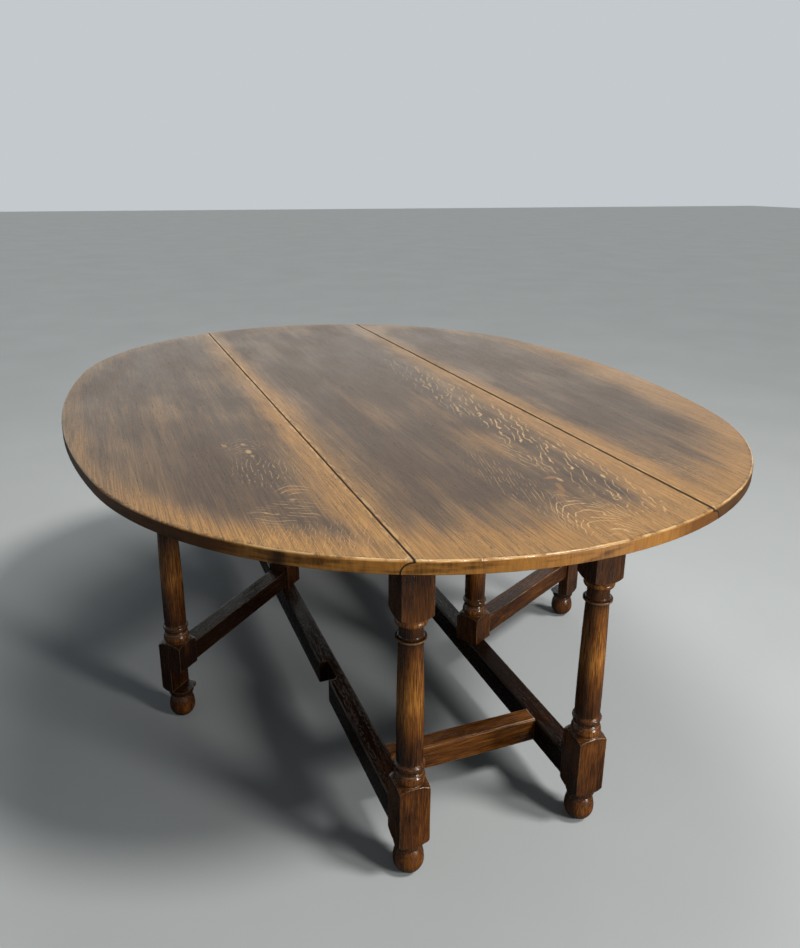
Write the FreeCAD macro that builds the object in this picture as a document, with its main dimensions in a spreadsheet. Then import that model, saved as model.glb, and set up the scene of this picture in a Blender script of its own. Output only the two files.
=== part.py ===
# Oval wake table of oak: a fixed centre board on a turned frame, and two drop leaves on rule joints,
# each held up by a gate that swings out from the frame.
# Origin on the floor under the middle of the top, +Y along the boards, +X across the leaves.
import FreeCAD
import Part
import math
import os
import re
import Sketcher

doc = FreeCAD.newDocument("WakeTable")
sheet = doc.addObject("Spreadsheet::Sheet", "Sizes")

# Driving sizes, in millimetres and degrees.
sizes = [
    # Oval top of three boards
    ("tableHigh", 742),
    ("topLong", 1918),
    ("topWide", 1432),
    ("endArc", 683),
    ("topThick", 23),
    ("boardWide", 520),
    ("rimRound", 3.5),
    ("underRimChamfer", 0.8),
    # Rule joint between the centre board and a leaf
    ("ruleStep", 4),
    ("ruleRadius", 18),
    ("ruleCrack", 1),
    ("ruleGap", 0.6),
    # Legs: places, square stock, and the turned profile as heights and radii
    ("legAcross", 376),
    ("legAlong", 1448),
    ("stockWide", 60),
    ("footRadius", 29.8),
    ("footHigh", 29),
    ("footFlatRadius", 8),
    ("footTop", 59.5),
    ("ankleRadius", 22),
    ("ankleLow", 62.5),
    ("ankleLowRadius", 27),
    ("ankleTop", 75),
    ("ankleTopRadius", 28.5),
    ("lowBlockBase", 84),
    ("lowBlockTop", 198),
    ("torusLow", 206.5),
    ("torusHigh", 226),
    ("torusRootRadius", 26.5),
    ("torusRadius", 29.3),
    ("filletHigh", 228.5),
    ("ringLow", 239),
    ("ringHigh", 247.5),
    ("ringRadius", 28.8),
    ("ringRootRadius", 26.8),
    ("shaftLow", 252),
    ("shaftLowRadius", 24.7),
    ("shaftBelly", 282),
    ("shaftBellyRadius", 25),
    ("shaftTop", 495.5),
    ("shaftTopRadius", 22.1),
    ("collarLow", 500.5),
    ("collarHigh", 504.5),
    ("collarRadius", 27.8),
    ("neckLow", 508),
    ("neckHigh", 527),
    ("neckRadius", 21.3),
    ("beadHigh", 543),
    ("beadRadius", 28.4),
    ("beadRootRadius", 25),
    ("highBlockBase", 553),
    ("turnOver", 1),
    ("shoulderShare", 0.1),
    ("hollowShare", 0.2),
    ("coveShare", 0.2),
    # Stretchers
    ("stretcherWide", 44),
    ("stretcherDeep", 55),
    ("stretcherLow", 80),
    ("stretcherChamfer", 3),
    ("crossWide", 41),
    ("crossDeep", 52),
    ("crossAlong", 1110),
    # Rails under the top
    ("railWide", 40),
    ("railDeep", 80),
    ("endRailWide", 32),
    # Mortise and tenon joints
    ("tenonThick", 12),
    ("tenonLong", 24),
    ("tenonShoulder", 6),
    ("crossTenonLong", 16),
    ("mortiseGap", 0.2),
    # Gates
    ("pivotAlong", 229),
    ("gateLong", 466),
    ("gateStretcherWide", 44),
    ("gateStretcherDeep", 47),
    ("gateStretcherGap", 2),
    ("gateRailWide", 36),
    ("gateRailDeep", 58),
    ("gateRailGap", 4),
    ("openLeft", 46.2),
    ("openRight", 61.4),
    ("pintleRadius", 9),
    ("pintleLong", 22),
    ("pintleGap", 0.08),
    ("pintleEndGap", 1),
    ("postGap", 0.3),
    ("leafRest", 0.3),
    ("lapGap", 1),
    ("lapRise", 3),
    ("notchNear", 4),
    ("notchFar", 14),
    ("notchRound", 10),
    # Table hinges
    ("hingeWide", 64),
    ("hingeAlong", 600),
    ("hingeGap", 0.3),
    ("flapThick", 2.4),
    ("flapFixedLong", 34),
    ("flapMovingLong", 58),
    ("knuckleRadius", 4.2),
    ("knuckleLong", 22),
    ("hingePinRadius", 2),
    ("hingePinGap", 0.05),
    ("hingeRelief", 0.6),
    ("recessGap", 0.2),
    ("flapLift", 1.2),
    # Screws
    ("screwRadius", 2),
    ("screwHeadRadius", 3.8),
    ("screwHeadDeep", 2),
    ("screwGap", 0.1),
    ("slotWide", 0.8),
    ("slotDeep", 0.7),
    ("flapScrewLong", 14),
    ("buttonScrewLong", 33),
    ("stopScrewLong", 30),
    ("screwSpread", 22),
    ("fixedScrewIn", 22),
    ("fixedScrewMid", 28),
    ("movingScrewIn", 34),
    ("movingScrewMid", 50),
    # Buttons that hold the top to the rails
    ("buttonLong", 36),
    ("buttonWide", 34),
    ("buttonDeep", 18),
    ("tongueLong", 8),
    ("tongueDeep", 8),
    ("tongueLow", 3),
    ("tongueGap", 0.5),
    ("buttonGap", 0.3),
    ("buttonAlong", 840),
    # Blocks that stop the open gates
    ("stopLong", 50),
    ("stopWide", 22),
    ("stopDeep", 19),
    ("stopGap", 0.5),
    ("stopIn", 15),
    ("stopScrewSpread", 13),
    # One overrun for all cuts
    ("overrun", 20),
]

# Sizes that follow from the driving ones.
derived = [
    ("boardUnder", "tableHigh - topThick"),
    ("sideArc", "((topWide / 2)^2 + (topLong / 2 - endArc)^2 - endArc^2) / (topWide - 2 * endArc)"),
    ("arcStand", "topLong / 2 - endArc"),
    ("sideStand", "sideArc - topWide / 2"),
    ("arcShare", "sideArc / (sideArc - endArc)"),
    ("meetX", "sideStand * (arcShare - 1)"),
    ("meetY", "arcStand * arcShare"),
    ("jointX", "boardWide / 2"),
    ("pinHigh", "tableHigh - ruleStep - ruleRadius"),
    ("coveRadius", "ruleRadius + ruleGap"),
    ("coveTop", "pinHigh + sqrt(coveRadius^2 - ruleCrack^2)"),
    ("legX", "legAcross / 2"),
    ("legY", "legAlong / 2"),
    ("stockHalf", "stockWide / 2"),
    ("turnRadius", "stockHalf * sqrt(2) + turnOver"),
    ("stretcherTop", "stretcherLow + stretcherDeep"),
    ("railLow", "boardUnder - railDeep"),
    ("gateStretcherLow", "stretcherTop + gateStretcherGap"),
    ("gateStretcherTop", "gateStretcherLow + gateStretcherDeep"),
    ("gateRailTop", "railLow - gateRailGap"),
    ("gateRailLow", "gateRailTop - gateRailDeep"),
    ("spanY", "legY - stockHalf"),
    ("spanX", "legX - stockHalf"),
    ("closedY", "pivotAlong - gateLong"),
    ("turnLeft", "-90 - openLeft"),
    ("turnRight", "90 - openRight"),
    ("leftGateX", "-legX + gateLong * cos(turnLeft)"),
    ("leftGateY", "pivotAlong + gateLong * sin(turnLeft)"),
    ("rightGateX", "legX + gateLong * cos(turnRight)"),
    ("rightGateY", "-pivotAlong + gateLong * sin(turnRight)"),
    ("stopX", "legX + gateLong - stopIn"),
    ("stopY", "-pivotAlong - stockHalf - stopGap"),
    ("tongueBase", "boardUnder - buttonDeep + tongueLow"),
]

for row, (name, size) in enumerate(sizes + derived, 1):
    cell = "A" + str(row)
    sheet.set(cell, str(size) if isinstance(size, (int, float)) else "=" + size)
    sheet.setAlias(cell, name)
doc.recompute()

names = {name for name, size in sizes + derived}
parts = []


# The number that a formula in named sizes gives.
def value(text):
    return float(sheet.evalExpression(text))


# The same formula with the sheet's name before each size, for binding.
def bound(text):
    return re.sub(r"[A-Za-z]\w*", lambda word: "Sizes." + word[0] if word[0] in names else word[0], text)


def bind(thing, prop, text):
    thing.setExpression(prop, bound(text))


# A new sub-part at a place, turned about the vertical.
def piece(name, x="0", y="0", turn="0"):
    body = doc.addObject("PartDesign::Body", name)
    body.Label = name
    bind(body, "Placement.Base.x", x)
    bind(body, "Placement.Base.y", y)
    bind(body, "Placement.Rotation.Angle", turn)
    parts.append(body)
    return body


# An empty sketch on one of the body's own planes, lifted off it by a named distance.
def sketch_on(body, name, role, lift="0"):
    sketch = body.newObject("Sketcher::SketchObject", body.Name + "_" + name + "_sketch")
    plane = [item for item in body.Origin.OriginFeatures if item.Role == role][0]
    sketch.AttachmentSupport = (plane, "")
    sketch.MapMode = "FlatFace"
    bind(sketch, "AttachmentOffset.Base.z", lift)
    return sketch


# Adds constraints, each with the formula that it follows or None.
def constrain(sketch, rules):
    first = sketch.ConstraintCount
    sketch.addConstraint([rule for rule, text in rules])
    for index, (rule, text) in enumerate(rules, first):
        if text is not None:
            sketch.setExpression("Constraints[" + str(index) + "]", bound(text))


# Ties one point of a shape to two formulas, counted from the sketch's origin.
def pin_point(shape, end, x, y):
    rules = []
    for kind, axis, text in (("DistanceX", -2, x), ("DistanceY", -1, y)):
        if abs(value(text)) < 1e-9:
            rules.append((Sketcher.Constraint("PointOnObject", shape, end, axis), None))
        else:
            rules.append((Sketcher.Constraint(kind, -1, 1, shape, end, value(text)), text))
    return rules


# A closed outline. Each corner is (x, y), reached by a line, or (x, y, radius, side), reached by an arc
# that bulges to the left of the way there (side 1) or to the right (side -1).
def outline(sketch, corners):
    spots = [FreeCAD.Vector(value(corner[0]), value(corner[1]), 0) for corner in corners]
    shapes = []
    ends = []
    rules = []
    first = sketch.GeometryCount
    for index, corner in enumerate(corners):
        start = spots[index - 1]
        stop = spots[index]
        if len(corner) == 2:
            shapes.append(Part.LineSegment(start, stop))
            ends.append((1, 2))
            continue
        radius = value(corner[2])
        side = corner[3]
        middle = (start + stop) / 2
        along = (stop - start).normalize()
        left = FreeCAD.Vector(-along.y, along.x, 0)
        half = start.distanceToPoint(stop) / 2
        centre = middle - left * side * math.sqrt(radius ** 2 - half ** 2)
        low, high = (stop, start) if side > 0 else (start, stop)
        turns = [math.atan2(spot.y - centre.y, spot.x - centre.x) for spot in (low, high)]
        if turns[1] < turns[0]:
            turns[1] += 2 * math.pi
        circle = Part.Circle(centre, FreeCAD.Vector(0, 0, 1), radius)
        shapes.append(Part.ArcOfCircle(circle, turns[0], turns[1]))
        ends.append((2, 1) if side > 0 else (1, 2))
    sketch.addGeometry(shapes)
    for index, corner in enumerate(corners):
        before = (index - 1) % len(corners)
        coincide = Sketcher.Constraint(
            "Coincident", first + before, ends[before][1], first + index, ends[index][0])
        rules.append((coincide, None))
        rules += pin_point(first + index, ends[index][1], corner[0], corner[1])
        if len(corner) > 2:
            rules.append((Sketcher.Constraint("Radius", first + index, value(corner[2])), corner[2]))
    constrain(sketch, rules)


def rectangle(sketch, x, y):
    outline(sketch, [(x[0], y[0]), (x[1], y[0]), (x[1], y[1]), (x[0], y[1])])


def circles(sketch, places, radius):
    for x, y in places:
        centre = FreeCAD.Vector(value(x), value(y), 0)
        shape = sketch.addGeometry(Part.Circle(centre, FreeCAD.Vector(0, 0, 1), value(radius)))
        rules = pin_point(shape, 3, x, y)
        rules.append((Sketcher.Constraint("Radius", shape, value(radius)), radius))
        constrain(sketch, rules)


# The length of wood between two formulas, added or cut, even about the sketch's plane.
def extrude(body, name, sketch, length, cut=False):
    kind = "PartDesign::Pocket" if cut else "PartDesign::Pad"
    feature = body.newObject(kind, body.Name + "_" + name)
    feature.Profile = sketch
    feature.SideType = "Symmetric"
    bind(feature, "Length", length)
    return feature


# Square-edged blocks of one height, each from x[0] to x[1] and y[0] to y[1], added or cut.
def blocks(body, name, places, z, cut=False):
    sketch = sketch_on(body, name, "XY_Plane", "(" + z[0] + " + " + z[1] + ") / 2")
    for x, y in places:
        rectangle(sketch, x, y)
    return extrude(body, name, sketch, z[1] + " - (" + z[0] + ")", cut)


def block(body, name, x, y, z, cut=False):
    return blocks(body, name, [(x, y)], z, cut)


# Upright round pegs or holes, all of one size.
def pegs(body, name, places, radius, z, cut=False):
    sketch = sketch_on(body, name, "XY_Plane", "(" + z[0] + " + " + z[1] + ") / 2")
    circles(sketch, places, radius)
    return extrude(body, name, sketch, z[1] + " - (" + z[0] + ")", cut)


# Cones that narrow upwards from a height, for countersunk heads and their seats.
def cones(body, name, places, radius, low, deep, narrow, cut=False):
    sketch = sketch_on(body, name, "XY_Plane", low)
    circles(sketch, places, radius)
    kind = "PartDesign::Pocket" if cut else "PartDesign::Pad"
    feature = body.newObject(kind, body.Name + "_" + name)
    feature.Profile = sketch
    feature.Reversed = cut
    bind(feature, "Length", deep)
    bind(feature, "TaperAngle", "-atan((" + radius + " - (" + narrow + ")) / (" + deep + "))")
    return feature


# Dresses the edges of a body that a test picks by their middle point and their ends.
def dress(body, name, kind, size_name, text, wanted):
    doc.recompute()
    tip = body.Tip
    picked = []
    for index, edge in enumerate(tip.Shape.Edges, 1):
        middle = edge.valueAt((edge.FirstParameter + edge.LastParameter) / 2)
        if wanted(middle, edge):
            picked.append("Edge" + str(index))
    feature = body.newObject("PartDesign::" + kind, body.Name + "_" + name)
    feature.Base = (tip, picked)
    bind(feature, size_name, text)
    return feature


def near(first, second):
    return abs(first - second) < 1e-4


# The two signs of a formula, as the ends of a span about zero.
def both(text):
    return ("-(" + text + ")", text)


# The span about a middle.
def about(middle, half):
    return (middle + " - (" + half + ")", middle + " + " + half)


# The radius of an arc between two points whose rise is a share of its chord.
def bulge(x, z, share):
    chord = "sqrt((" + x[1] + " - (" + x[0] + "))^2 + (" + z[1] + " - (" + z[0] + "))^2)"
    return chord + " * (1 + 4 * " + share + "^2) / (8 * " + share + ")"


# The radius of an arc that starts upright and moves in by one distance over a height.
def upright(inward, height):
    return "((" + inward + ")^2 + (" + height + ")^2) / (2 * (" + inward + "))"


# The radius of an arc of a height that stands out by a rise.
def risen(height, rise):
    return "(" + height + ")^2 / (8 * (" + rise + ")) + (" + rise + ") / 2"


# Cuts a turned stretch out of square stock.
def turned(body, name, corners):
    sketch = sketch_on(body, name, "XZ_Plane")
    outline(sketch, corners)
    feature = body.newObject("PartDesign::Groove", body.Name + "_" + name)
    feature.Profile = sketch
    feature.ReferenceAxis = (sketch, ["V_Axis"])
    feature.Angle = 360
    return feature


# Ball foot, groove and ankle band, up to the low square block.
def turn_foot(body):
    turned(body, "foot", [
        ("turnRadius", "0"),
        ("turnRadius", "lowBlockBase"),
        ("ankleTopRadius", "ankleTop",
         bulge(("ankleTopRadius", "turnRadius"), ("ankleTop", "lowBlockBase"), "shoulderShare"), 1),
        ("ankleLowRadius", "ankleLow",
         bulge(("ankleLowRadius", "ankleTopRadius"), ("ankleLow", "ankleTop"), "shoulderShare"), 1),
        ("ankleRadius", "ankleLow"),
        ("ankleRadius", "footTop"),
        ("footRadius", "footHigh", upright("footRadius - ankleRadius", "footTop - footHigh"), 1),
        ("footFlatRadius", "0", upright("footRadius - footFlatRadius", "footHigh"), 1),
    ])


# Torus, fillet, hollow, ring, long shaft, collar, neck and bead between the two square blocks.
def turn_shaft(body):
    turned(body, "shaft", [
        ("turnRadius", "lowBlockTop"),
        ("torusRootRadius", "torusLow",
         bulge(("torusRootRadius", "turnRadius"), ("lowBlockTop", "torusLow"), "shoulderShare"), -1),
        ("torusRootRadius", "torusHigh",
         risen("torusHigh - torusLow", "torusRadius - torusRootRadius"), -1),
        ("torusRootRadius", "filletHigh"),
        ("ringRootRadius", "ringLow",
         bulge(("torusRootRadius", "ringRootRadius"), ("filletHigh", "ringLow"), "hollowShare"), 1),
        ("ringRootRadius", "ringHigh",
         risen("ringHigh - ringLow", "ringRadius - ringRootRadius"), -1),
        ("shaftLowRadius", "shaftLow",
         bulge(("shaftLowRadius", "ringRootRadius"), ("ringHigh", "shaftLow"), "coveShare"), 1),
        ("shaftBellyRadius", "shaftBelly",
         upright("shaftBellyRadius - shaftLowRadius", "shaftBelly - shaftLow"), -1),
        ("shaftTopRadius", "shaftTop",
         upright("shaftBellyRadius - shaftTopRadius", "shaftTop - shaftBelly"), -1),
        ("collarRadius", "collarLow",
         bulge(("shaftTopRadius", "collarRadius"), ("shaftTop", "collarLow"), "coveShare"), 1),
        ("collarRadius", "collarHigh"),
        ("neckRadius", "neckLow",
         bulge(("neckRadius", "collarRadius"), ("collarHigh", "neckLow"), "coveShare"), 1),
        ("neckRadius", "neckHigh"),
        ("beadRootRadius", "beadHigh",
         risen("beadHigh - neckHigh", "beadRadius - (neckRadius + beadRootRadius) / 2"), -1),
        ("turnRadius", "highBlockBase",
         bulge(("beadRootRadius", "turnRadius"), ("beadHigh", "highBlockBase"), "shoulderShare"), -1),
    ])


# The heights of a tenon on a rail or stretcher, and of the mortise that takes it.
def tenon_span(low, high):
    return (low + " + tenonShoulder", high + " - tenonShoulder")


def mortise_span(low, high):
    return (low + " + tenonShoulder - mortiseGap", high + " - tenonShoulder + mortiseGap")


mortise_half = "tenonThick / 2 + mortiseGap"
stretcher_heights = ("stretcherLow", "stretcherTop")
cross_heights = ("stretcherTop - crossDeep", "stretcherTop")
rail_heights = ("railLow", "boardUnder")
gate_stretcher_heights = ("gateStretcherLow", "gateStretcherTop")
gate_rail_heights = ("gateRailLow", "gateRailTop")
signs = {"left": -1, "right": 1, "front": -1, "back": 1}


def signed(sign, text):
    return "-(" + text + ")" if sign < 0 else "(" + text + ")"


# A mortise in a leg's or post's block, open on the side that a sign along X or Y names.
def block_mortise(body, name, sign, along, heights):
    depth = (signed(sign, "stockHalf - tenonLong - mortiseGap"), signed(sign, "stockHalf + overrun"))
    spans = (depth, both(mortise_half)) if along == "x" else (both(mortise_half), depth)
    block(body, name, spans[0], spans[1], mortise_span(*heights), True)


# Fixed legs
def leg(end, side):
    body = piece("leg_" + end + "_" + side, signed(signs[side], "legX"), signed(signs[end], "legY"))
    block(body, "stock", both("stockHalf"), both("stockHalf"), ("0", "boardUnder"))
    turn_foot(body)
    turn_shaft(body)
    block_mortise(body, "stretcher_mortise", -signs[end], "y", stretcher_heights)
    block_mortise(body, "side_rail_mortise", -signs[end], "y", rail_heights)
    block_mortise(body, "end_rail_mortise", -signs[side], "x", rail_heights)


# The notch that a gate leg closes into, round at its far end.
def notch(body, half_wide, z):
    far = "closedY - stockHalf - notchFar"
    close = "closedY + stockHalf + notchNear"
    out = "-(" + half_wide + " + overrun)"
    sketch = sketch_on(body, "notch", "XY_Plane", "(" + z[0] + " + " + z[1] + ") / 2")
    outline(sketch, [
        (out, far),
        ("-notchRound", far),
        ("0", far + " + notchRound", "notchRound", -1),
        ("0", close),
        (out, close),
    ])
    extrude(body, "notch", sketch, z[1] + " - (" + z[0] + ") + overrun", True)


# Takes the two upper long arrises off a stretcher that lies along X or Y.
def chamfer_top(body, along):
    top = value("stretcherTop")

    def wanted(middle, edge):
        box = edge.BoundBox
        length = box.XLength if along == "x" else box.YLength
        return near(middle.z, top) and length > value("stretcherDeep")

    dress(body, "chamfer", "Chamfer", "Size", "stretcherChamfer", wanted)


# Long stretchers, drawn with their outer side towards -X
def long_stretcher(side):
    turn = "0" if side == "left" else "180"
    body = piece("long_stretcher_" + side, signed(signs[side], "legX"), "0", turn)
    block(body, "bar", both("stretcherWide / 2"), both("spanY"), stretcher_heights)
    chamfer_top(body, "y")
    block(body, "tenons", both("tenonThick / 2"), both("spanY + tenonLong"), tenon_span(*stretcher_heights))
    notch(body, "stretcherWide / 2", stretcher_heights)
    inner = ("stretcherWide / 2 - crossTenonLong - mortiseGap", "stretcherWide / 2 + overrun")
    places = [(inner, about(signed(sign, "crossAlong / 2"), mortise_half)) for sign in (-1, 1)]
    blocks(body, "mortises", places, mortise_span(*cross_heights), True)
    hole = ("stretcherTop - pintleLong - pintleEndGap", "stretcherTop + overrun")
    pegs(body, "pintle_hole", [("0", "pivotAlong")], "pintleRadius + pintleGap", hole, True)


# Cross stretchers between them
def cross_stretcher(end):
    body = piece("cross_stretcher_" + end, "0", signed(signs[end], "crossAlong / 2"))
    reach = "legX - stretcherWide / 2"
    block(body, "bar", both(reach), both("crossWide / 2"), cross_heights)
    chamfer_top(body, "x")
    block(body, "tenons", both(reach + " + crossTenonLong"), both("tenonThick / 2"), tenon_span(*cross_heights))


# Rails under the top, drawn with their inner side towards +X or +Y
def side_rail(side):
    turn = "0" if side == "left" else "180"
    body = piece("side_rail_" + side, signed(signs[side], "legX"), "0", turn)
    block(body, "bar", both("railWide / 2"), both("spanY"), rail_heights)
    block(body, "tenons", both("tenonThick / 2"), both("spanY + tenonLong"), tenon_span(*rail_heights))
    notch(body, "railWide / 2", rail_heights)
    hole = ("railLow - overrun", "railLow + pintleLong + pintleEndGap")
    pegs(body, "pintle_hole", [("0", "pivotAlong")], "pintleRadius + pintleGap", hole, True)
    inner = ("railWide / 2 - tongueLong - tongueGap", "railWide / 2 + overrun")
    places = [(inner, about(signed(sign, "buttonAlong / 2"), "buttonWide / 2 + tongueGap")) for sign in (-1, 1)]
    blocks(body, "button_grooves", places, ("tongueBase - tongueGap", "tongueBase + tongueDeep + tongueGap"), True)


def end_rail(end):
    turn = "0" if end == "front" else "180"
    body = piece("end_rail_" + end, "0", signed(signs[end], "legY"), turn)
    block(body, "bar", both("spanX"), both("endRailWide / 2"), rail_heights)
    block(body, "tenons", both("spanX + tenonLong"), both("tenonThick / 2"), tenon_span(*rail_heights))
    inner = ("endRailWide / 2 - tongueLong - tongueGap", "endRailWide / 2 + overrun")
    block(body, "button_groove", both("buttonWide / 2 + tongueGap"), inner,
          ("tongueBase - tongueGap", "tongueBase + tongueDeep + tongueGap"), True)


# Gates, drawn with the pivot at the origin, the gate along +X and the frame's inside towards +Y
def gate(side):
    turn = "turnLeft" if side == "left" else "turnRight"
    pivot = (signed(signs[side], "legX"), "pivotAlong" if side == "left" else "-pivotAlong")
    post = piece("pivot_post_" + side, pivot[0], pivot[1], turn)
    low = "stretcherTop + postGap"
    high = "railLow - postGap"
    block(post, "stock", both("stockHalf"), both("stockHalf"), (low, high))
    turn_shaft(post)
    pegs(post, "pintles", [("0", "0")], "pintleRadius", (low + " - pintleLong", high + " + pintleLong"))
    block_mortise(post, "stretcher_mortise", 1, "x", gate_stretcher_heights)
    block_mortise(post, "rail_mortise", 1, "x", gate_rail_heights)

    foot = piece("gate_leg_" + side, side + "GateX", side + "GateY", turn)
    block(foot, "stock", both("stockHalf"), both("stockHalf"), ("0", "boardUnder - leafRest"))
    turn_foot(foot)
    turn_shaft(foot)
    inner = ("-lapGap", "stockHalf + overrun")
    across = both("stockHalf + overrun")
    block(foot, "low_lap", across, inner, ("stretcherLow - lapRise", "stretcherTop + lapRise"), True)
    block(foot, "high_lap", across, inner, ("railLow - lapRise", "boardUnder + overrun"), True)
    block_mortise(foot, "stretcher_mortise", -1, "x", gate_stretcher_heights)
    block_mortise(foot, "rail_mortise", -1, "x", gate_rail_heights)

    span = ("stockHalf", "gateLong - stockHalf")
    long_span = ("stockHalf - tenonLong", "gateLong - stockHalf + tenonLong")
    for name, half, heights in (
        ("gate_stretcher_", "gateStretcherWide / 2", gate_stretcher_heights),
        ("gate_rail_", "gateRailWide / 2", gate_rail_heights),
    ):
        bar = piece(name + side, pivot[0], pivot[1], turn)
        block(bar, "bar", span, both(half), heights)
        block(bar, "tenons", long_span, both("tenonThick / 2"), tenon_span(*heights))


# A bar between two upright circles that lie across Y, even about the sketch's plane
def barrel(body, name, radius, length, cut=False):
    sketch = sketch_on(body, name, "XZ_Plane")
    circles(sketch, [("0", "pinHigh")], radius)
    extrude(body, name, sketch, length, cut)


flap_heights = ("boardUnder", "boardUnder + flapThick")
hinge_places = {"front": "-hingeAlong", "middle": "0", "back": "hingeAlong"}
fixed_screws = [("-fixedScrewIn", "-screwSpread"), ("-fixedScrewMid", "0"), ("-fixedScrewIn", "screwSpread")]
moving_screws = [("movingScrewIn", "-screwSpread"), ("movingScrewMid", "0"), ("movingScrewIn", "screwSpread")]


# A screw's seat in the piece that it holds: a countersink from below and a hole through
def screw_seats(body, places, low, through):
    cones(body, "seats", places, "screwHeadRadius + screwGap", low, "screwHeadDeep", "screwRadius + screwGap", True)
    pegs(body, "screw_holes", places, "screwRadius + screwGap", (low, through), True)


# Table hinges, drawn with the pin over the origin and the centre board towards -X
def hinge(side, spot):
    turn = "0" if side == "right" else "180"
    at = (signed(signs[side], "jointX"), hinge_places[spot], turn)
    relief = "knuckleRadius + hingeRelief"
    fixed = piece("hinge_fixed_flap_" + side + "_" + spot, *at)
    block(fixed, "plate", ("-flapFixedLong", "0"), both("hingeWide / 2"), flap_heights)
    barrel(fixed, "knuckle", "knuckleRadius", "hingeWide")
    barrel(fixed, "gap", relief, "knuckleLong + 2 * hingeGap", True)
    barrel(fixed, "bore", "hingePinRadius + hingePinGap", "hingeWide + overrun", True)
    screw_seats(fixed, fixed_screws, "boardUnder", "boardUnder + flapThick + overrun")

    moving = piece("hinge_moving_flap_" + side + "_" + spot, *at)
    block(moving, "plate", (relief, "flapMovingLong"), both("hingeWide / 2"), flap_heights)
    block(moving, "tongue", ("0", relief + " + flapThick"), both("knuckleLong / 2"), flap_heights)
    barrel(moving, "knuckle", "knuckleRadius", "knuckleLong")
    barrel(moving, "bore", "hingePinRadius + hingePinGap", "hingeWide + overrun", True)
    screw_seats(moving, moving_screws, "boardUnder", "boardUnder + flapThick + overrun")

    pin = piece("hinge_pin_" + side + "_" + spot, *at)
    barrel(pin, "rod", "hingePinRadius", "hingeWide")


# A group of alike countersunk screws with slotted heads
def screws(name, places, low, length, turn="0"):
    body = piece(name, "0", "0", turn)
    body.AllowCompound = True
    cones(body, "heads", places, "screwHeadRadius", low, "screwHeadDeep", "screwRadius")
    pegs(body, "shanks", places, "screwRadius", (low, low + " + " + length))
    slots = [(about(x, "screwHeadRadius + slotWide"), about(y, "slotWide / 2")) for x, y in places]
    blocks(body, "slots", slots, (low + " - overrun", low + " + slotDeep"), True)


# The places of the hinge screws of one side, seen from the middle of the table
def hinge_screw_places(side, offsets):
    sign = signs[side]
    places = []
    for spot in hinge_places.values():
        for x, y in offsets:
            places.append((signed(sign, "jointX + " + x), signed(sign, spot + " + " + y)))
    return places


# Where each top button's rail face is, and how far the button is turned
button_faces = {
    "left_front": ("-(legX - railWide / 2)", "-buttonAlong / 2", "0"),
    "left_back": ("-(legX - railWide / 2)", "buttonAlong / 2", "0"),
    "right_front": ("legX - railWide / 2", "-buttonAlong / 2", "180"),
    "right_back": ("legX - railWide / 2", "buttonAlong / 2", "180"),
    "front": ("0", "-(legY - endRailWide / 2)", "90"),
    "back": ("0", "legY - endRailWide / 2", "-90"),
}
button_reach = "buttonGap + buttonLong / 2"
button_screw_places = []
for face_x, face_y, face_turn in button_faces.values():
    shift_x = {"0": " + " + button_reach, "180": " - (" + button_reach + ")"}.get(face_turn, "")
    shift_y = {"90": " + " + button_reach, "-90": " - (" + button_reach + ")"}.get(face_turn, "")
    button_screw_places.append((face_x + shift_x, face_y + shift_y))


# Buttons under the top, drawn with the rail's face at the origin
def top_button(spot):
    body = piece("top_button_" + spot, *button_faces[spot])
    low = "boardUnder - buttonDeep"
    block(body, "body", ("buttonGap", "buttonGap + buttonLong"), both("buttonWide / 2"), (low, "boardUnder"))
    block(body, "tongue", ("-tongueLong", "buttonGap + tongueLong"), both("buttonWide / 2"),
          ("tongueBase", "tongueBase + tongueDeep"))
    screw_seats(body, [(button_reach, "0")], low, "boardUnder + overrun")


# The whole oval, with its upper rim rounded and its lower one broken, before it is parted at the joints
def oval_board(body):
    sketch = sketch_on(body, "oval", "XY_Plane", "(tableHigh + boardUnder) / 2")
    outline(sketch, [
        ("meetX", "meetY", "sideArc", -1),
        ("-meetX", "meetY", "endArc", -1),
        ("-meetX", "-meetY", "sideArc", -1),
        ("meetX", "-meetY", "endArc", -1),
    ])
    extrude(body, "oval", sketch, "topThick")
    for name, kind, size_name, size, height in (
        ("rim", "Fillet", "Radius", "rimRound", "tableHigh"),
        ("under_rim", "Chamfer", "Size", "underRimChamfer", "boardUnder"),
    ):
        level = value(height)
        dress(body, name, kind, size_name, size, lambda middle, edge: near(middle.z, level))


# The recesses for one side's hinges: flaps, knuckles, and the moving flaps' path under the centre board
def hinge_spans(sign, x):
    spans = []
    for spot in hinge_places.values():
        span = (signed(sign, x[0]), signed(sign, x[1]))
        spans.append((span, about(spot, "hingeWide / 2 + recessGap")))
    return spans


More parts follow.
